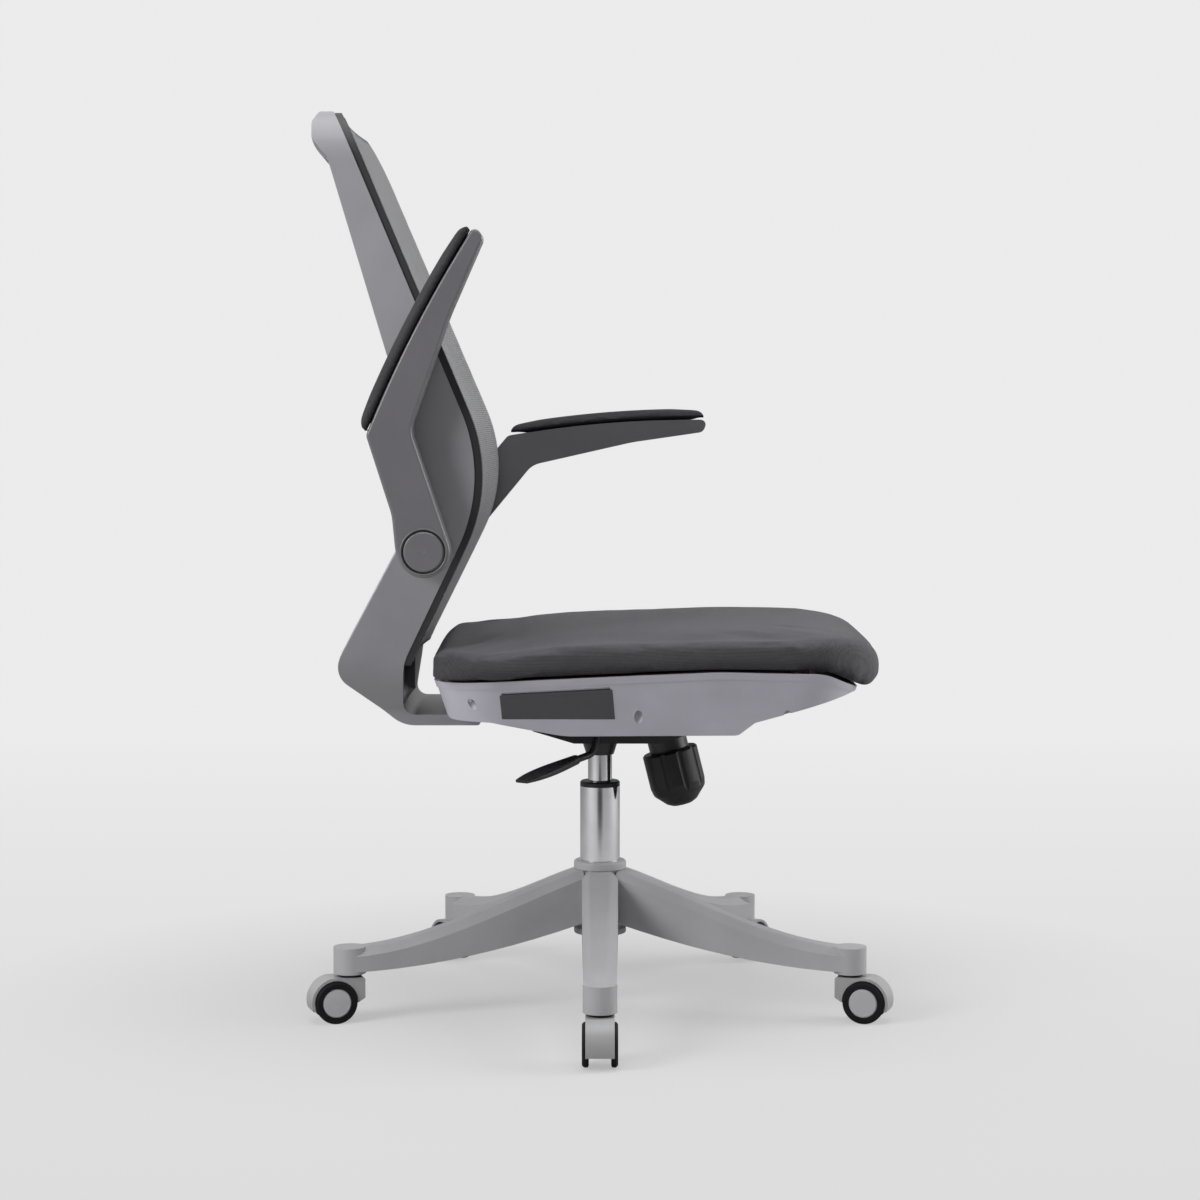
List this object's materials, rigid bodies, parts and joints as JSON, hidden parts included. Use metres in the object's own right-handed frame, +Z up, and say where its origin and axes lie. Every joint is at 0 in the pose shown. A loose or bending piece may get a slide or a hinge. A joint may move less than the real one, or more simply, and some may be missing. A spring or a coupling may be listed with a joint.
{
  "type": "task chair",
  "caption": "Mid-back mesh task chair on a five-leg caster base, with flip-up padded arms, a gas lift, a tilt mechanism and an upholstered seat.",
  "frame": {"origin": "on the floor under the column's axis", "axes": "+X is the way the chair faces, +Y is the sitter's left, +Z is up"},
  "size_m": [0.67, 0.6372, 1.02],
  "materials": {
    "frame_grey": "fine satin",
    "base_grey": "fine satin",
    "hood_grey": "satin",
    "wheel_grey": "satin",
    "tread_black": "matt",
    "black_plastic": "matt",
    "dark_insert": "matt",
    "arm_grey": "fine satin",
    "pad_charcoal": "woven",
    "seat_fabric": "woven",
    "mesh_grey": "open weave",
    "carrier_charcoal": "matt",
    "chrome": "polished",
    "steel": "zinc plated",
    "black_steel": "satin black",
    "plywood": "raw"
  },
  "bodies": {
    "base": {"star_base": "base_grey", "caster_socket_sleeves": "black_plastic", "gas_outer_tube": "chrome", "gas_guide_bush": "black_plastic"},
    "spindle": {"gas_spindle": "steel"},
    "chassis": {"gas_cylinder": "chrome", "mechanism_housing": "black_steel", "tilt_axle": "steel", "tension_spring": "steel"},
    "valve": {"valve_button": "steel"},
    "lever": {"height_lever": "black_plastic"},
    "knob": {"tension_knob": "black_plastic"},
    "seat": {"tilt_bracket": "black_steel", "seat_board": "plywood", "seat_pan": "frame_grey", "pan_inserts": "dark_insert", "seat_cushion": "seat_fabric", "bracket_bolts": "steel", "back_bolts": "steel", "pan_screws": "steel", "back_frame": "frame_grey", "mesh_carrier": "carrier_charcoal", "back_mesh": "mesh_grey", "arm_pivot_pins": "steel"},
    "right_arm": {"right_arm": "arm_grey", "right_arm_pad": "pad_charcoal", "right_pivot_cap": "arm_grey"},
    "left_arm": {"left_arm": "arm_grey", "left_arm_pad": "pad_charcoal", "left_pivot_cap": "arm_grey"},
    "caster_a": {"caster_a_hood": "hood_grey", "caster_a_pins": "steel"},
    "wheel_a_left": {"caster_a_left_hub": "wheel_grey", "caster_a_left_tread": "tread_black"},
    "wheel_a_right": {"caster_a_right_hub": "wheel_grey", "caster_a_right_tread": "tread_black"},
    "caster_b": {"caster_b_hood": "hood_grey", "caster_b_pins": "steel"},
    "wheel_b_left": {"caster_b_left_hub": "wheel_grey", "caster_b_left_tread": "tread_black"},
    "wheel_b_right": {"caster_b_right_hub": "wheel_grey", "caster_b_right_tread": "tread_black"},
    "caster_c": {"caster_c_hood": "hood_grey", "caster_c_pins": "steel"},
    "wheel_c_left": {"caster_c_left_hub": "wheel_grey", "caster_c_left_tread": "tread_black"},
    "wheel_c_right": {"caster_c_right_hub": "wheel_grey", "caster_c_right_tread": "tread_black"},
    "caster_d": {"caster_d_hood": "hood_grey", "caster_d_pins": "steel"},
    "wheel_d_left": {"caster_d_left_hub": "wheel_grey", "caster_d_left_tread": "tread_black"},
    "wheel_d_right": {"caster_d_right_hub": "wheel_grey", "caster_d_right_tread": "tread_black"},
    "caster_e": {"caster_e_hood": "hood_grey", "caster_e_pins": "steel"},
    "wheel_e_left": {"caster_e_left_hub": "wheel_grey", "caster_e_left_tread": "tread_black"},
    "wheel_e_right": {"caster_e_right_hub": "wheel_grey", "caster_e_right_tread": "tread_black"}
  },
  "joints": [
    {"name": "column_swivel", "type": "hinge", "parent": "base", "child": "spindle", "pos_m": [0, 0, 0.1], "axis": [0, 0, 1], "continuous": true},
    {"name": "gas_lift", "type": "slide", "parent": "spindle", "child": "chassis", "axis": [0, 0, 1], "range_m": [-0.025, 0.07]},
    {"name": "seat_tilt", "type": "hinge", "parent": "chassis", "child": "seat", "pos_m": [0.06, 0, 0.352], "axis": [0, 1, 0], "range_deg": [-12, 0], "stiffness_Nm_per_rad": 120, "springref_deg": 20.05, "deforming": ["tension_spring"]},
    {"name": "tension_knob_turn", "type": "hinge", "parent": "chassis", "child": "knob", "pos_m": [0.081, 0, 0.299], "axis": [-0.2419, 0, 0.9703], "continuous": true},
    {"name": "height_lever_lift", "type": "hinge", "parent": "chassis", "child": "lever", "pos_m": [0, -0.0555, 0.3424], "axis": [-1, 0, 0], "range_deg": [0, 4.5], "stiffness_Nm_per_rad": 2, "springref_deg": -8.59},
    {"name": "valve_press", "type": "slide", "parent": "chassis", "child": "valve", "axis": [0, 0, -1], "range_m": [0, 0.0044]},
    {"name": "right_arm_flip", "type": "hinge", "parent": "seat", "child": "right_arm", "pos_m": [-0.1874, 0, 0.545], "axis": [0, 1, 0], "range_deg": [-24, 57.9]},
    {"name": "left_arm_flip", "type": "hinge", "parent": "seat", "child": "left_arm", "pos_m": [-0.1874, 0, 0.545], "axis": [0, 1, 0], "range_deg": [-81.9, 0]},
    {"name": "caster_a_swivel", "type": "hinge", "parent": "base", "child": "caster_a", "pos_m": [0, -0.3, 0.06], "axis": [0, 0, 1], "continuous": true},
    {"name": "wheel_a_left_roll", "type": "hinge", "parent": "caster_a", "child": "wheel_a_left", "pos_m": [0, -0.319, 0.024], "axis": [1, 0, 0], "continuous": true},
    {"name": "wheel_a_right_roll", "type": "hinge", "parent": "caster_a", "child": "wheel_a_right", "pos_m": [0, -0.319, 0.024], "axis": [1, 0, 0], "continuous": true},
    {"name": "caster_b_swivel", "type": "hinge", "parent": "base", "child": "caster_b", "pos_m": [0.28532, -0.0927, 0.06], "axis": [0, 0, 1], "continuous": true},
    {"name": "wheel_b_left_roll", "type": "hinge", "parent": "caster_b", "child": "wheel_b_left", "pos_m": [0.30339, -0.09858, 0.024], "axis": [0.309, 0.9511, 0], "continuous": true},
    {"name": "wheel_b_right_roll", "type": "hinge", "parent": "caster_b", "child": "wheel_b_right", "pos_m": [0.30339, -0.09858, 0.024], "axis": [0.309, 0.9511, 0], "continuous": true},
    {"name": "caster_c_swivel", "type": "hinge", "parent": "base", "child": "caster_c", "pos_m": [0.17634, 0.24271, 0.06], "axis": [0, 0, 1], "continuous": true},
    {"name": "wheel_c_left_roll", "type": "hinge", "parent": "caster_c", "child": "wheel_c_left", "pos_m": [0.1875, 0.25808, 0.024], "axis": [-0.809, 0.5878, 0], "continuous": true},
    {"name": "wheel_c_right_roll", "type": "hinge", "parent": "caster_c", "child": "wheel_c_right", "pos_m": [0.1875, 0.25808, 0.024], "axis": [-0.809, 0.5878, 0], "continuous": true},
    {"name": "caster_d_swivel", "type": "hinge", "parent": "base", "child": "caster_d", "pos_m": [-0.17634, 0.24271, 0.06], "axis": [0, 0, 1], "continuous": true},
    {"name": "wheel_d_left_roll", "type": "hinge", "parent": "caster_d", "child": "wheel_d_left", "pos_m": [-0.1875, 0.25808, 0.024], "axis": [-0.809, -0.5878, 0], "continuous": true},
    {"name": "wheel_d_right_roll", "type": "hinge", "parent": "caster_d", "child": "wheel_d_right", "pos_m": [-0.1875, 0.25808, 0.024], "axis": [-0.809, -0.5878, 0], "continuous": true},
    {"name": "caster_e_swivel", "type": "hinge", "parent": "base", "child": "caster_e", "pos_m": [-0.28532, -0.0927, 0.06], "axis": [0, 0, 1], "continuous": true},
    {"name": "wheel_e_left_roll", "type": "hinge", "parent": "caster_e", "child": "wheel_e_left", "pos_m": [-0.30339, -0.09858, 0.024], "axis": [0.309, -0.9511, 0], "continuous": true},
    {"name": "wheel_e_right_roll", "type": "hinge", "parent": "caster_e", "child": "wheel_e_right", "pos_m": [-0.30339, -0.09858, 0.024], "axis": [0.309, -0.9511, 0], "continuous": true}
  ],
  "couplings": [
    {"joint": "valve_press", "follows": "height_lever_lift", "m_per_rad": 0.0555}
  ]
}
